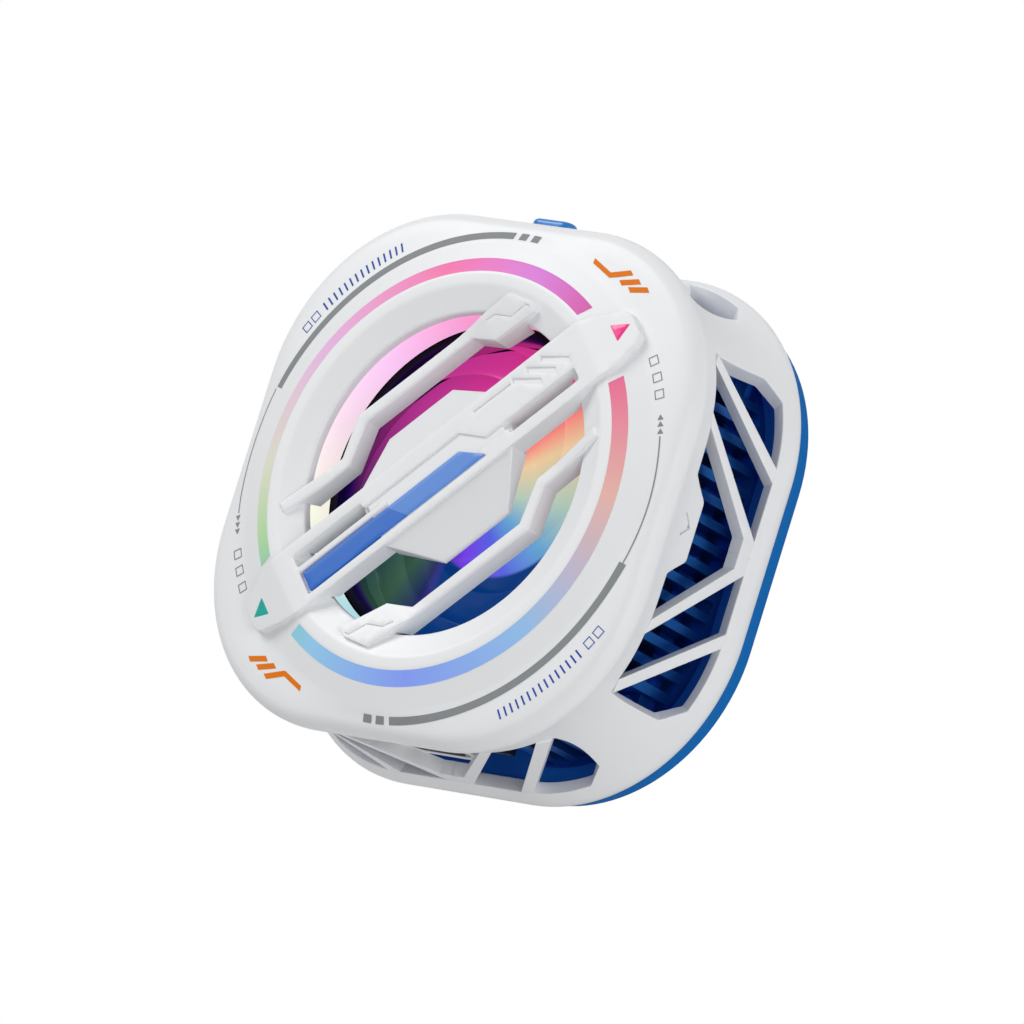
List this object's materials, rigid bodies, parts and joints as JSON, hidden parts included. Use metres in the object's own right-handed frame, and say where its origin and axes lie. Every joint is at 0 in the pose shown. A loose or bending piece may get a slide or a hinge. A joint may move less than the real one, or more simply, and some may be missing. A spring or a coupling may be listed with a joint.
{
  "type": "phone cooling fan",
  "caption": "Rounded-square magnetic phone cooler with a domed grille over a fan, slanted side vents, a light ring and a cold plate at the back.",
  "frame": {"origin": "on the resting face, under the middle of the fan", "axes": "+Z out of the grille, +Y toward the edge with the button, -Y toward the edge with the power socket"},
  "size_m": [0.0672, 0.068, 0.0285],
  "materials": {
    "white_shell": "satin",
    "bar_plastic": "satin",
    "blue_plastic": "gloss",
    "base_blue": "satin",
    "lens_tint": "gloss",
    "light_guide": "translucent",
    "inner_guide": "translucent",
    "board": "satin",
    "chip": "matte",
    "led_body": "matte",
    "switch_body": "matte",
    "fan_plastic": "gloss",
    "fan_frame": "satin",
    "steel": "brushed",
    "magnet": "satin",
    "bronze": "sintered",
    "washer": "matte",
    "lamination": "stamped",
    "copper": "wound wire",
    "anodised": "blue anodised",
    "aluminium": "satin",
    "ceramic": "matte",
    "pellet": "matte",
    "thermal_pad": "matte",
    "foam": "matte",
    "silicone": "matte",
    "wire": "satin",
    "flex": "satin"
  },
  "bodies": {
    "cooler": {"housing": "white_shell", "cross_bar": "bar_plastic", "guard_ribs": "bar_plastic", "name_plate": "blue_plastic", "bar_lenses": "lens_tint", "light_ring": "light_guide", "inner_light_ring": "inner_guide", "led_board": "board", "leds": "led_body", "tact_switch": "switch_body", "fan_shroud": "fan_frame", "fan_bearing": "bronze", "thrust_washer": "washer", "stator_core": "lamination", "stator_coils": "copper", "fan_base": "fan_frame", "fan_screws": "steel", "heatsink": "anodised", "heatsink_screws": "steel", "hot_pad": "thermal_pad", "peltier_hot_plate": "ceramic", "peltier_pellets": "pellet", "peltier_cold_plate": "ceramic", "insulation_frame": "foam", "cold_pad": "thermal_pad", "cold_plate": "aluminium", "base_plate": "base_blue", "magnets": "magnet", "magnet_shield": "steel", "contact_pad": "silicone", "main_board": "board", "board_chips": "chip", "usb_socket": "steel", "usb_blade": "chip", "flat_cable": "flex", "peltier_leads": "wire", "thermistor": "chip", "housing_screws": "steel"},
    "fan": {"impeller": "fan_plastic", "rotor_yoke": "steel", "rotor_magnet": "magnet", "fan_shaft": "steel"},
    "button": {"power_button": "blue_plastic", "switch_plunger": "washer"}
  },
  "joints": [
    {"name": "fan_spin", "type": "hinge", "parent": "cooler", "child": "fan", "pos_m": [0, 0, 0.015], "axis": [0, 0, 1], "continuous": true},
    {"name": "button_press", "type": "slide", "parent": "cooler", "child": "button", "axis": [0, -1, 0], "range_m": [0, 0.0004], "stiffness_N_per_m": 2500}
  ]
}
